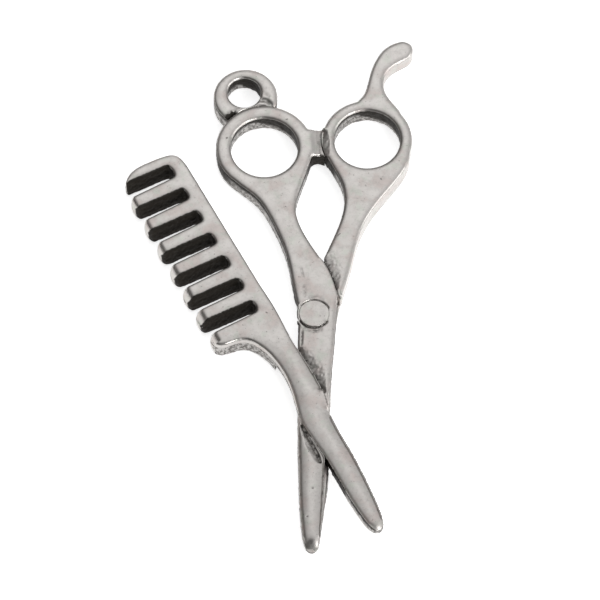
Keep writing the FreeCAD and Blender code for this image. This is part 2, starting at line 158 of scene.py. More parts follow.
def nearLine(points, line):
    # plan distance to a broken line, how far along it as a share, and which side (right is 1)
    line = np.array(line, float)
    lengths = np.linalg.norm(np.diff(line, axis=0), axis=1)
    run = np.concatenate([[0], np.cumsum(lengths)])
    nearest = np.full(len(points), 1e9)
    along = np.zeros(len(points))
    side = np.ones(len(points))
    for start, end, length, before in zip(line[:-1], line[1:], lengths, run):
        step = (end - start) / length
        away = points[:, :2] - start
        reach = np.clip(away @ step, 0, length)
        distance = np.linalg.norm(away - reach[:, None] * step, axis=1)
        closer = distance < nearest
        nearest[closer] = distance[closer]
        along[closer] = (before + reach[closer]) / run[-1]
        side[closer] = np.sign(away @ (step[1], -step[0]))[closer]
    return nearest, along, side, run / run[-1]


def ringOf(opening):
    # middle of a finger ring in plan, from the free space that the record states in it
    for space in frame["record"]["physics"]["openings"]:
        if space["name"] == opening:
            low, high = np.array(space["box_m"]) / mm
            return ((low + high) / 2 - pivot)[:2]


frontRing = ringOf("front_finger_ring")
rearRing = ringOf("rear_finger_ring")
hangingHole = -pivot[:2]  # the eye's hole is at the frame's own zero
frontRingRadius = 4.3
rearRingRadius = 4.0


def sinkSeat(own, centre, radius, depth):
    # a seat that meets its ring face to face reaches a little into it
    outward = own[:, :2] - centre
    reach = np.linalg.norm(outward, axis=1)
    seat = np.abs(reach - radius) < 0.03
    own[seat, :2] -= outward[seat] / reach[seat, None] * depth


def arcLine(centre, radius, start, end, steps=14):
    turns = np.radians(np.linspace(start, end, steps))
    return np.column_stack([centre[0] + radius * np.cos(turns), centre[1] + radius * np.sin(turns)])


def startCasting(nodes, cell, reshape=None):
    # the black share: 1 is black, patina together with painted shade. keep: 1 stays as crisp as the
    # frame's body. calm: 1 is a smooth, bright wall that gets no painted shade from walls facing it
    mesh = evenSkin(nodes, cell, reshape or {})
    edges = np.empty(len(mesh.edges) * 2, np.int64)
    mesh.edges.foreach_get("vertices", edges)
    points = readPoints(mesh)
    return {"mesh": mesh, "points": points, "edges": edges.reshape(-1, 2),
            "patinaAndShade": np.zeros(len(points)), "keep": np.zeros(len(points)),
            "calm": np.zeros(len(points))}


def normalsOf(casting):
    writePoints(casting["mesh"], casting["points"])
    return readNormals(casting["mesh"])


def softenEdges(casting, topTurns, backTurns):
    # rounds every edge, the back's more
    free = 1 - casting["keep"]

    def shareAt(turn, now):
        if turn < topTurns:
            return 0.5 * free
        return 0.5 * free * (1 - smoothStep(now[:, 2], 0.35, 0.9))  # the back only

    casting["points"] = relax(casting["points"], casting["edges"], max(topTurns, backTurns),
                              shareAt)


def swellTop(casting, crown, lowest=1.7):
    # lets the top fall away towards its sides, the blade's more than the rest
    points = casting["points"]
    normals = normalsOf(casting)
    free = 1 - casting["keep"]
    sides = np.flatnonzero((np.abs(normals[:, 2]) < 0.35) & (points[:, 2] > lowest)
                           & (free > 0.9))
    tree = KDTree(len(sides))
    for number, side in enumerate(sides):
        tree.insert((points[side, 0], points[side, 1], 0), number)
    tree.balance()
    tops = np.flatnonzero((normals[:, 2] > 0.3) & (points[:, 2] > lowest - 0.2))
    away = np.array([tree.find((points[top, 0], points[top, 1], 0))[2] for top in tops])
    blade = smoothStep(-points[tops, 1], *crown["bladeFrom"])
    width = crown["width"] + (crown["bladeWidth"] - crown["width"]) * blade
    drop = crown["drop"] + (crown["bladeDrop"] - crown["drop"]) * blade
    points[tops, 2] -= drop * np.clip(1 - away / width, 0, 1) ** 2 * free[tops]
    share = np.zeros(len(points))  # then evens out the ridge along a blade's middle
    share[tops] = 0.5 * smoothStep(away, 0.25, 0.5) * blade * free[tops]
    evened = relax(points.copy(), casting["edges"], 45, lambda turn, now: share)
    points[:, 2] = evened[:, 2]


def cutGrooves(casting, grooves):
    # lowers the top face along lines. A groove with "widths" is a wedge: deepest along its
    # line, running out at that width on the given side; the others are round-bottomed.
    for groove in grooves:
        points = casting["points"]
        normals = normalsOf(casting)
        distance, along, side, shares = nearLine(points, groove["line"])
        uneven = 1 + 0.12 * latticeNoise(points, 0.4, 8) + 0.18 * latticeNoise(points, 0.16, 9)
        if "widths" in groove:
            width = np.interp(along, shares, groove["widths"]) * uneven
            apart = np.where(side * groove["side"] > 0, distance, 2.5 * distance)
            shape = np.clip(1 - apart / np.maximum(width, 0.02), 0, 1)
        else:
            shape = np.exp(-(distance * uneven / (groove["width"] / 2)) ** 2)
        fade = groove.get("fade", 0.15)
        shape *= smoothStep(along, -0.02, fade) * smoothStep(1 - along, -0.02, fade)
        shape *= points[:, 2] > groove.get("above", 1.3)
        if "widths" in groove:  # leaves the face softly, and takes the edge of the face along
            shape **= 1.6
            points[:, 2] = np.minimum(points[:, 2], plateTop - groove["depth"] * shape)
        shape *= smoothStep(normals[:, 2], 0.1, 0.5)
        if "width" in groove:
            points[:, 2] -= groove["depth"] * shape
            shape **= 0.6
        # the groove is darkened: patina together with painted shade in the hollow
        patinaAndShade = shape * groove.get("patinaAndShade", 0) * (0.85 + 0.4 * latticeNoise(points, 0.18, 10))
        casting["patinaAndShade"] = np.maximum(casting["patinaAndShade"], np.clip(patinaAndShade, 0, 1))


def nosePlaces(points, nose):
    # how far each point is before the tip and to the side of it, and the way the tip points
    direction = np.array(nose["way"], float) / np.hypot(*nose["way"])
    before = (np.array(nose["tip"]) - points[:, :2]) @ direction
    aside = np.abs((points[:, :2] - nose["tip"]) @ np.array([-direction[1], direction[0]]))
    return before, aside, direction


def stretchTip(casting, nose):
    # draws a tip out a little before its edges are rounded
    points = casting["points"]
    before, aside, direction = nosePlaces(points, nose)
    share = (1 - smoothStep(before, 0, 3.0)) * (aside < 2.6)
    points[:, :2] += share[:, None] * nose["draw"] * direction


def dipNose(casting, nose):
    # rounds the last stretch before a tip down to the given height, like a bullet
    points = casting["points"]
    before, aside, direction = nosePlaces(points, nose)
    close = np.clip(1 - before / nose["length"], 0, 1) * (aside < 4)
    keep = np.maximum(np.sqrt(np.clip(1 - close ** 2.6, 0, 1)), 0.18)
    points[:, 2] = nose["height"] + (points[:, 2] - nose["height"]) * keep
    end = 0.5 * (1 - smoothStep(before, 0.5, 1.2)) * (aside < 4)
    relax(points, casting["edges"], 14, lambda turn, now: end)


# every node as the frame has it
allNodes = {}
for nodeName, nodeObject in frame["nodes"].items():
    allNodes[nodeName] = [readPoints(nodeObject.data) / mm - pivot,
                          [list(face.vertices) for face in nodeObject.data.polygons]]


def surroundings():
    points, faces = [], []
    for nodePoints, nodeFaces in allNodes.values():
        shift = len(points)
        points += [Vector(point) for point in nodePoints]
        faces += [[corner + shift for corner in face] for face in nodeFaces]
    return BVHTree.FromPolygons(points, faces)


around = surroundings()


def closeness(points, normals, reach):
    # 0 in the open, 1 where another wall faces this point from very near
    facing = np.zeros(len(points))
    lean = random.normal(0, 0.35, (2, 3))
    for number in np.flatnonzero(normals[:, 2] < 0.75):
        start = Vector(points[number])
        normal = Vector(normals[number])
        for tilt in ((0, 0, 0), lean[0], lean[1]):
            way = (normal + Vector(tilt)).normalized()
            distance = around.ray_cast(start + normal * 0.12, way, reach)[3]
            if distance is not None:
                facing[number] += (1 - distance / reach) / 3
    return facing


def treeOf(node, swing=0):
    # the node's surface, swung open about the pivot by so many degrees
    points, faces = allNodes[node]
    turn = math.radians(swing)
    points = points @ np.array([[math.cos(turn), -math.sin(turn), 0],
                                [math.sin(turn), math.cos(turn), 0], [0, 0, 1]])
    return BVHTree.FromPolygons([Vector(point) for point in points], faces)


def distanceTo(tree, points, reach):
    distances = np.full(len(points), reach)
    for number, point in enumerate(points):
        distance = tree.find_nearest(Vector(point), reach)[3]
        if distance is not None:
            distances[number] = distance
    return distances


finish = {
    "grain": 0.012,  # height of the cast skin's roughness
    "sight": 4.0,  # a wall gets painted shade when another one faces it from nearer than this
    "band": 1.3,  # walls get painted shade above about this height
    "innerWalls": ((frontRing, 3.5), (rearRing, 3.4), (hangingHole, 1.9)),  # centre, radius
    "darkSide": (0.8, 0.6),  # inner walls on this side get painted shade from lower down
    "fork": (0.45, 15.9),  # the narrow fork under the stop gets the darkest painted shade
}


def layFinish(casting, points, normals, ledge, rightLight):
    # each point's shares of rough wall, painted shadow under the upper edge and black (patina
    # together with painted shade where walls shelter each other), and how sheltered it is
    walls = 1 - smoothStep(normals[:, 2], 0.12, 0.5)
    near = relax(np.repeat(closeness(points, normals, finish["sight"])[:, None], 3, 1),
                 casting["edges"], 3, lambda turn, now: np.full(len(now), 0.5))[:, 0]
    near *= 1 - casting["calm"]
    # painted shade on walls that another wall faces from near
    shelterShade = smoothStep(near, 0.12, 0.4) * walls
    band = np.full(len(points), finish["band"])
    inside = np.zeros(len(points))
    for centre, radius in finish["innerWalls"]:
        inward = points[:, :2] - centre
        within = np.linalg.norm(inward, axis=1) < radius
        band -= 0.75 * within * smoothStep(inward @ finish["darkSide"] / radius, 0.15, 0.75)
        band -= 0.5 * within * (centre is hangingHole)
        inside = np.maximum(inside, within)
    # walls facing right on the rear half take the top's lighter colour, painted light from the lamps
    # on that side, and calm walls take it too; the others keep their rough skin
    calmAndRightLit = rightLight * smoothStep(normals[:, 0], 0.1, 0.5) * (1 - inside)
    calmAndRightLit = np.maximum(calmAndRightLit * smoothStep(points[:, 1], -6, 0), casting["calm"])
    walls *= 1 - 0.92 * calmAndRightLit * (1 - shelterShade)
    # painted shade under the walls' upper edge, with a wandering lower border
    drift = latticeNoise(points, 1.1, 6)
    shade = walls * smoothStep(points[:, 2] + 0.2 * drift, band, band + 0.5)
    # the narrow fork gets near-black painted shade
    fork = np.linalg.norm(points[:, :2] - finish["fork"], axis=1)
    shelterShade = np.maximum(shelterShade, walls * (1 - smoothStep(fork, 0.8, 2.4)) * 0.97)
    if ledge:  # the comb's walls step out below their bright upper edge, except on its tail
        tail = smoothStep(-points[:, 1], 9, 11)
        # painted shade under the upper edge stays only on the tail
        shade *= tail
        walls *= 1 - smoothStep(points[:, 2], 1.5, 1.66) * (1 - shelterShade) * (1 - tail)
        # low on the tail, walls take the top's lighter colour: a painted reflection of the floor
        walls *= 1 - 0.6 * tail * (1 - smoothStep(points[:, 2], 1.0, 1.5))
    return walls, shade, np.maximum(casting["patinaAndShade"], shelterShade), near


def finishCasting(name, casting, nodes, body, ledge=0.0, rightLight=0.0):
    # roughens the skin, stores the shares for the metal to use, and hands the piece over
    mesh = casting["mesh"]
    normals = normalsOf(casting)
    points = casting["points"]
    walls, shade, patinaAndShade, near = layFinish(casting, points, normals, ledge, rightLight)
    rough = latticeNoise(points, 0.26, 3) + 0.6 * latticeNoise(points, 0.14, 4)
    soft = latticeNoise(points, 0.9, 5) * (1 - walls)
    step = ledge * walls * (near < 0.15)
    lift = finish["grain"] * (2.2 * rough * np.maximum(walls, casting["patinaAndShade"]) + 0.5 * soft) + step
    free = 1 - casting["keep"]
    points = points + normals * (lift * free)[:, None]
    points[:, 2] = np.maximum(points[:, 2], 0)
    writePoints(mesh, (points + pivot) * mm)
    for attributeName, values in (("wallShare", walls), ("shadeShare", shade), ("patinaAndShadeShare", patinaAndShade)):
        attribute = mesh.attributes.new(attributeName, "FLOAT", "POINT")
        attribute.data.foreach_set("value", values.astype(np.float32))
    mesh.polygons.foreach_set("use_smooth", np.ones(len(mesh.polygons), bool))
    mesh.materials.clear()
    mesh.materials.append(antique)
    mesh.name = name
    piece = bpy.data.objects.new(name, mesh)
    bpy.context.scene.collection.objects.link(piece)
    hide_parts(*nodes)
    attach(piece, body)
    print(f"{name}: {len(mesh.polygons)} faces")
    return piece


def newMaterial(name):
    material = bpy.data.materials.new(name)
    material.use_nodes = True
    return material, material.node_tree.nodes["Principled BSDF"]


def addNode(tree, kind, **settings):
    node = tree.nodes.new(kind)
    for key, value in settings.items():
        if key in node.inputs:
            node.inputs[key].default_value = value
        else:
            setattr(node, key, value)
    return node


def addMix(tree, factor, first, second):
    mix = addNode(tree, "ShaderNodeMix", data_type="RGBA")
    for number, source in ((0, factor), (6, first), (7, second)):
        socket = mix.inputs[number]
        if isinstance(source, bpy.types.NodeSocket):
            tree.links.new(source, socket)
        else:
            socket.default_value = source
    return mix.outputs[2]


def addMath(tree, operation, first, second, third=None):
    node = addNode(tree, "ShaderNodeMath", operation=operation)
    for socket, source in zip(node.inputs, (first, second, third)):
        if isinstance(source, bpy.types.NodeSocket):
            tree.links.new(source, socket)
        elif source is not None:
            socket.default_value = source
    return node.outputs[0]


def addRange(tree, source, low, high, newLow=0.0, newHigh=1.0):
    node = addNode(tree, "ShaderNodeMapRange", interpolation_type="SMOOTHSTEP")
    for socket, number in zip(node.inputs[1:5], (low, high, newLow, newHigh)):
        socket.default_value = number
    tree.links.new(source, node.inputs[0])
    return node.outputs[0]


antiqueMetal = {
    "bright": (0.53, 0.508, 0.488, 1),
    "warm": (0.525, 0.475, 0.452, 1),
    "green": (0.49, 0.495, 0.456, 1),
    "dull": (0.40, 0.383, 0.367, 1),
    "wall": (0.13, 0.12, 0.112, 1),
    "glint": (0.46, 0.445, 0.43, 1),
    "shade": (0.030, 0.027, 0.024, 1),
    # black for patina and painted shade
    "patinaAndShade": (0.028, 0.024, 0.0195, 1),
    "topRoughness": 0.33,
    "wallRoughness": 0.42,
}


def makeAntique(look):
    material, shader = newMaterial("antiqueCastMetal")
    tree = material.node_tree
    link = tree.links.new
    place = addNode(tree, "ShaderNodeTexCoord").outputs["Object"]

    def noise(size, detail=2.0, roughness=0.5):
        node = addNode(tree, "ShaderNodeTexNoise", Scale=1 / (size * mm), Detail=detail,
                       Roughness=roughness)
        link(place, node.inputs["Vector"])
        return node.outputs["Fac"]

    def share(attributeName):
        return addNode(tree, "ShaderNodeAttribute", attribute_name=attributeName).outputs["Fac"]

    wall, shade, patinaAndShade = share("wallShare"), share("shadeShare"), share("patinaAndShadeShare")
    patches = noise(1.7, 4, 0.6)
    tints = noise(1.2, 3, 0.6)
    grit = noise(0.27, 3, 0.7)
    fineGrit = noise(0.34, 4, 0.75)
    pits = noise(0.5, 2)
    specks = noise(0.19, 2)
    # tumbled top faces: light metal with warm, greenish and dull patches, and small pits
    top = addMix(tree, addRange(tree, patches, 0.47, 0.66), look["bright"], look["warm"])
    top = addMix(tree, addRange(tree, tints, 0.52, 0.7), top, look["green"])
    top = addMix(tree, addRange(tree, fineGrit, 0.42, 0.72, 0, 0.6), top, look["dull"])
    pitMask = addRange(tree, pits, 0.73, 0.77, 0, 0.7)
    top = addMix(tree, pitMask, top, look["wall"])
    top = addMix(tree, addRange(tree, specks, 0.66, 0.74, 0, 0.45), top, look["wall"])
    # recesses: black between worn grains, patina together with painted shade
    grain = addRange(tree, grit, 0.42, 0.60)
    recess = addMix(tree, grain, look["shade"], look["dull"])
    recess = addMix(tree, addRange(tree, patinaAndShade, 0.55, 1.0), recess, look["shade"])
    recessMask = addRange(tree, addMath(tree, "MULTIPLY_ADD", grit, 0.5, patinaAndShade), 0.35, 1.0)
    top = addMix(tree, recessMask, top, recess)
    # side walls: mottled low down, with painted shade under the upper edge, and black where the
    # black share is high: patina, and painted shade where walls face each other
    side = addMix(tree, grain, look["wall"], look["glint"])
    side = addMix(tree, addMath(tree, "MULTIPLY", shade, 0.93), side, look["shade"])
    side = addMix(tree, addMath(tree, "MULTIPLY", patinaAndShade, 0.985), side, look["patinaAndShade"])
    wallMask = addRange(tree, addMath(tree, "MULTIPLY_ADD", grit, 0.25, wall), 0.35, 0.8)
    link(addMix(tree, wallMask, top, side), shader.inputs["Base Color"])
    # patina and painted shade are black and not metal
    patinaAndShadeLevel = addMath(tree, "MAXIMUM", patinaAndShade, addMath(tree, "MULTIPLY", shade, wallMask))
    link(addRange(tree, patinaAndShadeLevel, 0.45, 0.95, 1.0, 0.15), shader.inputs["Metallic"])
    shader.inputs["Specular IOR Level"].default_value = 0.02
    gloss = addRange(tree, patches, 0.3, 0.7, look["topRoughness"] - 0.05,
                     look["topRoughness"] + 0.07)
    rough = addNode(tree, "ShaderNodeMix", data_type="FLOAT")
    link(wallMask, rough.inputs[0])
    link(gloss, rough.inputs[2])
    rough.inputs[3].default_value = look["wallRoughness"]
    link(rough.outputs[0], shader.inputs["Roughness"])
    coarse = addMath(tree, "MULTIPLY", grit, addRange(tree, wall, 0.2, 0.8, 0.1, 1.0))
    relief = addMath(tree, "MULTIPLY_ADD", fineGrit, 0.35, coarse)
    relief = addMath(tree, "SUBTRACT", relief, pitMask)
    bump = addNode(tree, "ShaderNodeBump", Strength=0.4, Distance=0.05 * mm)
    link(relief, bump.inputs["Height"])
    link(bump.outputs[0], shader.inputs["Normal"])
    return material


turnedSteel = {"colour": (0.52, 0.51, 0.5, 1), "shade": (0.36, 0.35, 0.34, 1), "ring": 0.05}


def makeTurned(look):
    material, shader = newMaterial("turnedSteel")
    tree = material.node_tree
    link = tree.links.new
    place = addNode(tree, "ShaderNodeTexCoord").outputs["Object"]
    shift = addNode(tree, "ShaderNodeMapping")
    shift.inputs["Location"].default_value = [-part * mm for part in pivot]
    link(place, shift.inputs["Vector"])
    rings = addNode(tree, "ShaderNodeTexWave", wave_type="RINGS", rings_direction="Z",
                    Scale=1 / (look["ring"] * mm * 20), Distortion=0.6)
    link(shift.outputs[0], rings.inputs["Vector"])
    link(addMix(tree, rings.outputs["Fac"], look["colour"], look["shade"]),
         shader.inputs["Base Color"])
    shader.inputs["Metallic"].default_value = 1.0
    shader.inputs["Roughness"].default_value = 0.34
    bump = addNode(tree, "ShaderNodeBump", Strength=0.2, Distance=0.01 * mm)
    link(rings.outputs["Fac"], bump.inputs["Height"])
    link(bump.outputs[0], shader.inputs["Normal"])
    return material


antique = makeAntique(antiqueMetal)
turned = makeTurned(turnedSteel)
print("materials ready")


# front half, with the stop between the rings
frontHalf = {
    "cell": 0.08, "topTurns": 20, "backTurns": 110,  # size of the skin's faces, and rounding
    "crown": {"width": 0.6, "drop": 0.07, "bladeFrom": (9, 13), "bladeWidth": 1.3,
              "bladeDrop": 0.28},
    "nose": {"tip": (-0.3, -23.4), "way": (0, -1), "length": 2.1, "height": 1.3, "draw": 0.6},
    "stopFall": 0.32,  # the stop's top is this much lower at the right ring
    "web": {"foot": 15.7, "top": 19.4, "above": 1.2, "patinaAndShade": 0.36},  # dark streaks on the stop
    "grooves": [
        # beside the left rim under the boss
        {"line": [(-1.02, -1.3), (-1.06, -2.2), (-1.12, -3.5)], "width": 0.2, "depth": 0.08,
         "patinaAndShade": 0.6, "fade": 0.25},
        # along the comb's back
        {"line": [(-1.42, -3.45), (-0.85, -4.6), (-0.25, -5.75), (0.3, -6.85), (0.95, -8.05)],
         "widths": [0.5, 1.1, 1.35, 1.0, 0.25], "side": -1, "depth": 0.34, "patinaAndShade": 0.85,
         "fade": 0.03},
        # under and above the boss
        {"line": [(-1.05, -1.45), (0.0, -1.75), (0.9, -1.5)], "width": 0.5, "depth": 0.05,
         "patinaAndShade": 0.5},
        {"line": [(-0.85, 3.1), (-0.82, 2.4), (-0.74, 1.6)], "width": 0.4, "depth": 0.03,
         "patinaAndShade": 0.42},
        {"line": [(-1.15, 4.75), (-0.9, 3.6)], "width": 0.12, "depth": 0.05, "patinaAndShade": 0.5},
        {"line": [(-0.7, 1.62), (0.2, 1.72), (1.0, 1.35)], "width": 0.34, "depth": 0.04,
         "patinaAndShade": 0.4},
        # left of the comb's tail
        {"line": [(-1.15, -11.0), (-0.72, -11.85), (-0.2, -12.9), (0.3, -14.0), (0.68, -15.2)],
         "widths": [0.5, 0.85, 1.1, 0.9, 0.5], "side": 1, "depth": 0.48, "patinaAndShade": 0.85,
         "fade": 0.05},
        # small pits on the blade
        {"line": [(-0.11, -17.6), (-0.1, -17.75)], "width": 0.16, "depth": 0.07, "patinaAndShade": 1.0},
        {"line": [(-0.64, -20.45), (-0.62, -20.6)], "width": 0.14, "depth": 0.06, "patinaAndShade": 1.0},
        # crevice round the boss, broken at both sides
        {"line": arcLine((0, 0), 1.38, 18, 146), "width": 0.15, "depth": 0.15, "patinaAndShade": 0.9,
         "fade": 0.08},
        {"line": arcLine((0, 0), 1.39, 204, 330), "width": 0.2, "depth": 0.18, "patinaAndShade": 1.0,
         "fade": 0.08},
    ],
}


seamReach = 0.32  # how far from another piece an edge still belongs to their seam


def holdSeam(casting, other, foot, top, left=-9.0, wide=seamReach):
    # keeps the edges along another piece crisp; gives the gap at those walls, elsewhere 0.
    # The shoulder's gap is wider than the other seams', so it asks for more reach.
    points = casting["points"]
    near = distanceTo(treeOf(other), points, 0.5)
    span = smoothStep(points[:, 1], foot - 0.3, foot) * (points[:, 0] > left)
    span *= 1 - smoothStep(points[:, 1], top, top + 0.6)
    shoulderPart = (points[:, 0] > 0) * smoothStep(points[:, 1], 1.2, 1.5)
    wide = seamReach + (wide - seamReach) * shoulderPart
    crisp = (1 - smoothStep(near, wide - 0.07, wide + 0.13)) * span
    casting["keep"] = np.maximum(casting["keep"], crisp)
    return np.maximum(near, 0.001) * (near < wide) * (span > 0.3)


def closeSeam(casting, gap, leave, reach=0.3, most=0.12):
    # brings walls that face each other above the lap together until this gap is left
    points = casting["points"]
    normals = normalsOf(casting)
    upright = (np.abs(normals[:, 2]) < 0.85) & (points[:, 2] > lapHeight) & (gap > 0)
    aside = normals[:, :2] / np.maximum(np.linalg.norm(normals[:, :2], axis=1), 0.01)[:, None]
    push = np.clip((gap - leave) / 2, 0, most) * upright
    push *= 1 - smoothStep(gap, 0.75 * reach, reach)
    points[:, :2] += aside * push[:, None]


combCorner = (1.14, -9.87)  # where the comb's right edge leaves the blade
shoulderCorner = (2.15, 1.3)  # where the seam below the fork runs out on the right


def easeCorner(casting, corner):
    # wears a small corner smooth
    away = np.linalg.norm(casting["points"][:, :2] - corner, axis=1)
    share = 0.5 * (1 - smoothStep(away, 0.25, 0.6))
    relax(casting["points"], casting["edges"], 20, lambda turn, now: share)


def closeShoulder(casting, gap):
    # below the shanks' fork the two halves look like one
    along = casting["points"][:, 1]
    flush = smoothStep(-along, -2.6, -2.3)
    ends = smoothStep(along, 1.15, 1.75) * (1 - smoothStep(along, 5.0, 5.7))
    closeSeam(casting, gap * (ends > 0), 0.075 - 0.11 * flush + 0.1 * (1 - ends),
              reach=0.5, most=0.17 * ends)
    casting["calm"] = np.maximum(casting["calm"], (gap > 0) * flush)


def shapeStop(own):
    # the stop's top runs on from the left ring and slopes down towards the right one
    sinkSeat(own, frontRing, frontRingRadius, 0.35)
    top = own[:, 2] > 1.5
    own[top, 2] = plateTop - 0.02 - frontHalf["stopFall"] * smoothStep(own[top, 0], -0.1, 0.75)


casting = startCasting(("front_half", "ring_stop"), frontHalf["cell"],
                       {"ring_stop": shapeStop})
shoulder = holdSeam(casting, "rear_half", -0.9, 5.6, wide=0.4)
stopSeam = holdSeam(casting, "rear_half", 15.9, 19.2)
combSeam = holdSeam(casting, "comb", -9.5, -8.0, left=0.2)
bossSeam = holdSeam(casting, "pivot_rivet", -1.5, 1.5)
stretchTip(casting, frontHalf["nose"])
softenEdges(casting, frontHalf["topTurns"], frontHalf["backTurns"])
swellTop(casting, frontHalf["crown"])
closeShoulder(casting, shoulder)
easeCorner(casting, shoulderCorner)
closeSeam(casting, combSeam, -0.08 * smoothStep(casting["points"][:, 1], -9.7, -9.0), 0.12)
closeSeam(casting, stopSeam, -0.08, 0.2)
# the boss is flush with the plate on its right and for a little way on its left
bossTurn = np.degrees(np.arctan2(casting["points"][:, 1], casting["points"][:, 0]))
flush = np.maximum(1 - smoothStep(np.abs(bossTurn + 4), 20, 30),
                   1 - smoothStep(180 - np.abs(bossTurn), 22, 34))
closeSeam(casting, bossSeam * flush, -0.2, 0.12)
casting["calm"] = np.maximum(casting["calm"], (combSeam + bossSeam > 0) * 1.0)
easeCorner(casting, combCorner)
cutGrooves(casting, frontHalf["grooves"])
dipNose(casting, frontHalf["nose"])

# streaks where the stop runs down to the right ring
points, web = casting["points"], frontHalf["web"]
within = (points[:, 1] > web["foot"]) & (points[:, 1] < web["top"]) & (points[:, 2] > web["above"])
# the streaks darken the shallow recess there: patina together with painted shade
streaks = web["patinaAndShade"] + 0.2 * latticeNoise(points * (2.2, 0.5, 1), 0.4, 11)
streaks *= within * smoothStep(points[:, 0], 0.05, 0.3)
casting["patinaAndShade"] = np.maximum(casting["patinaAndShade"], streaks)
finishCasting("frontHalf", casting, ("front_half", "ring_stop"), "root")


# rear half, with its finger rest
rearHalf = {
    "cell": 0.08, "topTurns": 20, "backTurns": 90,
    "crown": {"width": 0.6, "drop": 0.07, "bladeFrom": (9, 13), "bladeWidth": 1.0,
              "bladeDrop": 0.1},
    "nose": {"tip": (-0.2, -23.1), "way": (0, -1), "length": 1.8, "height": 0.45, "draw": 0.5},
    "grooves": [
        # where the shank dips under the front one
        {"line": [(0.5, 6.1), (0.85, 5.3), (1.25, 4.45), (1.6, 3.6), (1.98, 2.4)],
         "widths": [1.2, 1.6, 1.4, 1.0, 0.25], "side": -1, "depth": 0.24, "patinaAndShade": 0.85,
         "fade": 0.05},
        {"line": [(0.62, 5.75), (0.85, 5.3)], "width": 0.4, "depth": 0.12, "patinaAndShade": 1.0},
        # beside the stop
        {"line": [(1.0, 16.0), (0.72, 17.2), (0.7, 18.0), (0.86, 19.0)],
         "widths": [0.4, 0.9, 0.9, 0.4], "side": 1, "depth": 0.32, "patinaAndShade": 0.2,
         "fade": 0.08},
    ],
}

casting = startCasting(("rear_half", "finger_rest"), rearHalf["cell"],
                       {"finger_rest": lambda own: sinkSeat(own, rearRing, rearRingRadius, 0.4)})
shoulder = holdSeam(casting, "front_half", -0.9, 5.6, wide=0.4)
stopSeam = holdSeam(casting, "ring_stop", 16.1, 18.9)
stretchTip(casting, rearHalf["nose"])
softenEdges(casting, rearHalf["topTurns"], rearHalf["backTurns"])
swellTop(casting, rearHalf["crown"])
closeShoulder(casting, shoulder)
easeCorner(casting, shoulderCorner)
closeSeam(casting, stopSeam, -0.08, 0.2)
cutGrooves(casting, rearHalf["grooves"])
dipNose(casting, rearHalf["nose"])
# painted light on the rear half's walls facing right
finishCasting("rearHalf", casting, ("rear_half", "finger_rest"), "rear", rightLight=1.0)


# comb
combPiece = {
    "cell": 0.088, "topTurns": 14, "backTurns": 60, "ledge": 0.06, "tipStretch": 0.14,
    "draft": 0.27, "swings": (0, 10, 20),
    "crown": {"width": 0.6, "drop": 0.05, "bladeFrom": (1, 6), "bladeWidth": 1.5,
              "bladeDrop": 0.28},
    "lean": 28, "spineFoot": (-0.6, -7.7),  # the comb's own axis leans to the left from here
    "teethFrom": 8.0, "headFrom": 25.2, "headEnd": 26.3,  # along that axis
    "slotsEnd": 0.6,  # across it
    "toothTip": -5.0, "bevel": 0.8, "bevelDrop": 0.8,
    "nose": {"tip": (6.1, -21.7), "way": (0.47, -0.88), "length": 2.2, "height": 1.3,
             "draw": -0.05},
    "grooves": [
        {"line": [(-3.3, -5.4), (-3.25, -5.5)], "width": 0.26, "depth": 0.12, "patinaAndShade": 1.0},
    ],
}


combTurn = math.radians(combPiece["lean"])
acrossWay = np.array([math.cos(combTurn), math.sin(combTurn)])  # from the teeth to the back
alongWay = np.array([-math.sin(combTurn), math.cos(combTurn)])  # from the tail to the head


def combPlaces(points):
    # each point's place across and along the comb's own axis
    spine = points[:, :2] - combPiece["spineFoot"]
    return spine @ acrossWay, spine @ alongWay


def combFacing(casting, way):
    # how nearly each point of the skin faces a way in plan
    return normalsOf(casting)[:, :2] @ way


casting = startCasting(("comb",), combPiece["cell"])
bladeSeam = holdSeam(casting, "front_half", -9.5, -8.0, left=0.2)
# the channel that the rear blade swings through stays as it was made
for swing in combPiece["swings"]:
    near = distanceTo(treeOf("rear_half", swing), casting["points"], 0.5)
    casting["keep"] = np.maximum(casting["keep"], 1 - smoothStep(near, 0.3, 0.48))
stretchTip(casting, combPiece["nose"])
across, along = combPlaces(casting["points"])
leftward = combPiece["tipStretch"] * (1 - smoothStep(across, -5.0, -4.0)) * (along > 7.5)
headward = combPiece["tipStretch"] * smoothStep(along, combPiece["headFrom"], combPiece["headEnd"])
casting["points"][:, :2] += headward[:, None] * alongWay - leftward[:, None] * acrossWay
softenEdges(casting, combPiece["topTurns"], combPiece["backTurns"])
# the slots narrow towards the back, which makes up for their rounded back edges
across, along = combPlaces(casting["points"])
facing = combFacing(casting, -alongWay)
deep = 1 - np.clip(casting["points"][:, 2] / plateTop, 0, 1)
slots = (along > combPiece["teethFrom"]) * (across < combPiece["slotsEnd"])
slots = slots * ((along < combPiece["headFrom"]) | (facing > 0))
draft = combPiece["draft"] * facing * deep * slots
casting["points"][:, :2] -= draft[:, None] * alongWay
swellTop(casting, combPiece["crown"])
closeSeam(casting, bladeSeam, -0.08 * smoothStep(casting["points"][:, 1], -9.7, -9.0), 0.12)
easeCorner(casting, combCorner)
cutGrooves(casting, combPiece["grooves"])
dipNose(casting, combPiece["nose"])
points = casting["points"]
across, along = combPlaces(points)
# the teeth's ends are worn round, and the slots' walls facing the tail get black painted shade
teeth = along > combPiece["teethFrom"]
worn = (combPiece["toothTip"] + combPiece["bevel"] - across) / combPiece["bevel"]
worn = np.clip(worn, 0, 1)
points[:, 2] -= combPiece["bevelDrop"] * worn ** 2.2 * teeth * smoothStep(points[:, 2], 0.9, 1.9)
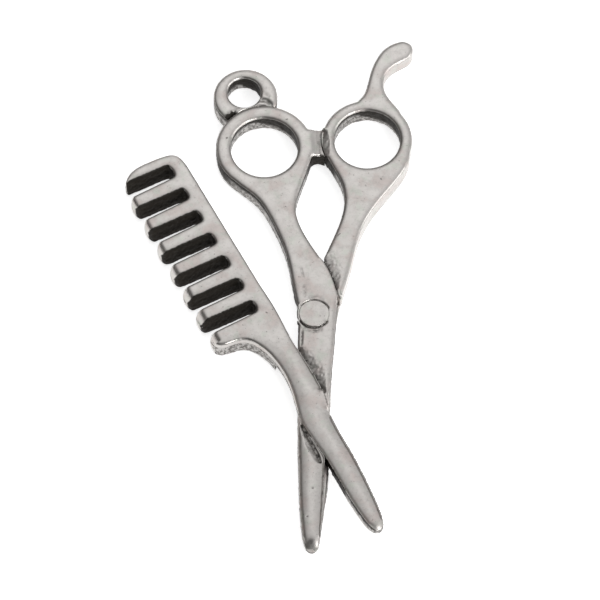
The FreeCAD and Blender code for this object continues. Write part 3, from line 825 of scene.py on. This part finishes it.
# painted shade on the slot walls facing the tail
downward = smoothStep(combFacing(casting, -alongWay), 0.15, 0.55)
casting["patinaAndShade"] = np.maximum(casting["patinaAndShade"], downward * (along > 9.6) * (across < 0.5))
# the teeth's ends are smooth
endward = smoothStep(combFacing(casting, -acrossWay), 0.3, 0.7)
casting["calm"] = np.maximum(endward * teeth * (across < -4.2), (bladeSeam > 0) * 1.0)
finishCasting("combPlate", casting, ("comb",), "root", ledge=combPiece["ledge"])


# hanging eye
hangingEye = {
    "cell": 0.07, "topTurns": 14, "backTurns": 80,
    "crown": {"width": 0.7, "drop": 0.08, "bladeFrom": (9, 10), "bladeWidth": 1,
              "bladeDrop": 0},  # the eye lies above all blades, so these change nothing
    "grooves": [
        # crevices where the eye runs in under the ring
        # the first is blackened well past its sides: painted shade over the glint they would give
        {"line": [(-8.0, 19.5), (-7.4, 20.25), (-6.95, 20.7)], "width": 0.6, "depth": 0.3,
         "patinaAndShade": 2.6, "above": 0.8, "fade": 0.1},
        {"line": [(-7.2, 20.6), (-6.7, 21.3)], "width": 0.3, "depth": 0.08, "patinaAndShade": 0.5},
        {"line": [(-4.85, 22.0), (-4.3, 22.05), (-3.6, 21.45)], "width": 0.34, "depth": 0.2,
         "patinaAndShade": 0.65, "above": 0.8, "fade": 0.2},
        {"line": [(-4.4, 22.7), (-3.9, 22.3)], "width": 0.3, "depth": 0.06, "patinaAndShade": 0.4},
    ],
}

casting = startCasting(("hanging_eye",), hangingEye["cell"])
softenEdges(casting, hangingEye["topTurns"], hangingEye["backTurns"])
swellTop(casting, hangingEye["crown"])
cutGrooves(casting, hangingEye["grooves"])
carved = smoothStep(casting["patinaAndShade"], 0.02, 0.1)
relax(casting["points"], casting["edges"], 6, lambda turn, now: 0.5 * carved)
finishCasting("hangingEye", casting, ("hanging_eye",), "root")


# pivot
pivotRivet = {"cell": 0.05, "turns": 6, "rise": 0.35}

casting = startCasting(("pivot_rivet",), pivotRivet["cell"])
softenEdges(casting, pivotRivet["turns"], pivotRivet["turns"])
points = casting["points"]
proud = points[:, 2] > plateTop
# the head stands a little proud on the left and runs out flush on the right
lean = 1 - smoothStep(points[proud, 0], 0.5, 1.25) * (np.abs(points[proud, 1]) < 0.75)
points[proud, 2] = plateTop + (points[proud, 2] - plateTop) * pivotRivet["rise"] * lean
casting["calm"][:] = 1.0
finishCasting("pivotRivet", casting, ("pivot_rivet",), "root")

# the small parts inside keep the frame's own shapes
for node in ("comb_pegs", "pivot_washer", "rivet_burr"):
    frame["nodes"][node].data.materials.clear()
    frame["nodes"][node].data.materials.append(turned)
print("pivot and pegs ready")


# floor, light and camera
studio = {"floor": (0.93, 0.93, 0.93, 1), "floorSize": 1.2, "lens": 1200, "width": 53.1,
          "look": (4.97, -21.43, 2.2), "elevation": 60,
          "low": (0.16, 0.155, 0.15, 1), "high": (1.0, 1.0, 1.0, 1),
          "brightSide": (0.34, 0.3, 0.89),
          "cameraSpread": 24, "cameraBody": (0.03, 0.03, 0.03, 1), "strength": 0.8,
          "floorGlow": 0.75}

softboxes = {  # angles in degrees, lengths in metres, power in watts
    "frontRightBox": {"azimuth": 42, "elevation": 36, "distance": 0.5, "size": 0.2, "power": 0.9},
    "rightBox": {"azimuth": 80, "elevation": 18, "distance": 0.6, "size": 0.35, "power": 1.0},
    "topBox": {"azimuth": 180, "elevation": 70, "distance": 0.6, "size": 0.5, "power": 0.2},
    "ringBox": {"azimuth": 180, "elevation": 58, "distance": 0.16, "size": 0.08, "power": 0.009,
                "up": 0.032},  # lights the finger rings, so it is aimed further up the object
}

bpy.ops.mesh.primitive_plane_add(size=studio["floorSize"], location=(0, 0, -0.00002))
floor = bpy.context.object
floor.name = "floor"
floorMaterial, floorShader = newMaterial("floorPaper")
floorShader.inputs["Base Color"].default_value = studio["floor"]
floorShader.inputs["Roughness"].default_value = 0.9
floorShader.inputs["Emission Color"].default_value = (1, 1, 1, 1)
floorShader.inputs["Emission Strength"].default_value = studio["floorGlow"]
floor.data.materials.append(floorMaterial)

world = bpy.data.worlds.new("tent")
bpy.context.scene.world = world
world.use_nodes = True
tree = world.node_tree
background = tree.nodes["Background"]
way = addNode(tree, "ShaderNodeTexCoord").outputs["Generated"]


def toward(direction):
    # how nearly a direction of the surroundings is the given one
    node = addNode(tree, "ShaderNodeVectorMath", operation="DOT_PRODUCT")
    tree.links.new(way, node.inputs[0])
    node.inputs[1].default_value = direction
    return node.outputs["Value"]


tent = addMix(tree, addRange(tree, toward(Vector(studio["brightSide"]).normalized()), 0.25, 0.95),
              studio["low"], studio["high"])
rise = math.radians(studio["elevation"])
back = Vector((0, -math.cos(rise), math.sin(rise)))
spot = addRange(tree, toward(back), math.cos(math.radians(studio["cameraSpread"])),
                math.cos(math.radians(studio["cameraSpread"] * 0.55)))
tent = addMix(tree, spot, tent, studio["cameraBody"])
tree.links.new(tent, background.inputs["Color"])
background.inputs["Strength"].default_value = studio["strength"]


def addSoftbox(name, azimuth, elevation, distance, size, power, up=0.0):
    lamp = bpy.data.lights.new(name, "AREA")
    lamp.size = size
    lamp.energy = power
    box = bpy.data.objects.new(name, lamp)
    bpy.context.scene.collection.objects.link(box)
    turn, rise = math.radians(azimuth), math.radians(elevation)
    middle = Vector(((cadLow.x + cadHigh.x) / 2, (cadLow.y + cadHigh.y) / 2 + up, 0))
    box.location = middle + distance * Vector((math.cos(rise) * math.sin(turn),
                                               -math.cos(rise) * math.cos(turn), math.sin(rise)))
    box.rotation_mode = "QUATERNION"
    box.rotation_quaternion = (box.location - middle).to_track_quat("Z", "Y")


for name, settings in softboxes.items():
    addSoftbox(name, **settings)
print("studio ready")

cameraData = bpy.data.cameras.new("camera")
cameraData.lens = studio["lens"]
cameraData.sensor_width = 36
camera = bpy.data.objects.new("camera", cameraData)
bpy.context.scene.collection.objects.link(camera)
bpy.context.scene.camera = camera
away = studio["width"] * mm * studio["lens"] / cameraData.sensor_width
camera.location = Vector(studio["look"]) * mm + back * away
camera.rotation_mode = "QUATERNION"
camera.rotation_quaternion = back.to_track_quat("Z", "Y")
cameraData.clip_start = 0.01
cameraData.clip_end = 10
bpy.context.scene.view_settings.view_transform = "Standard"
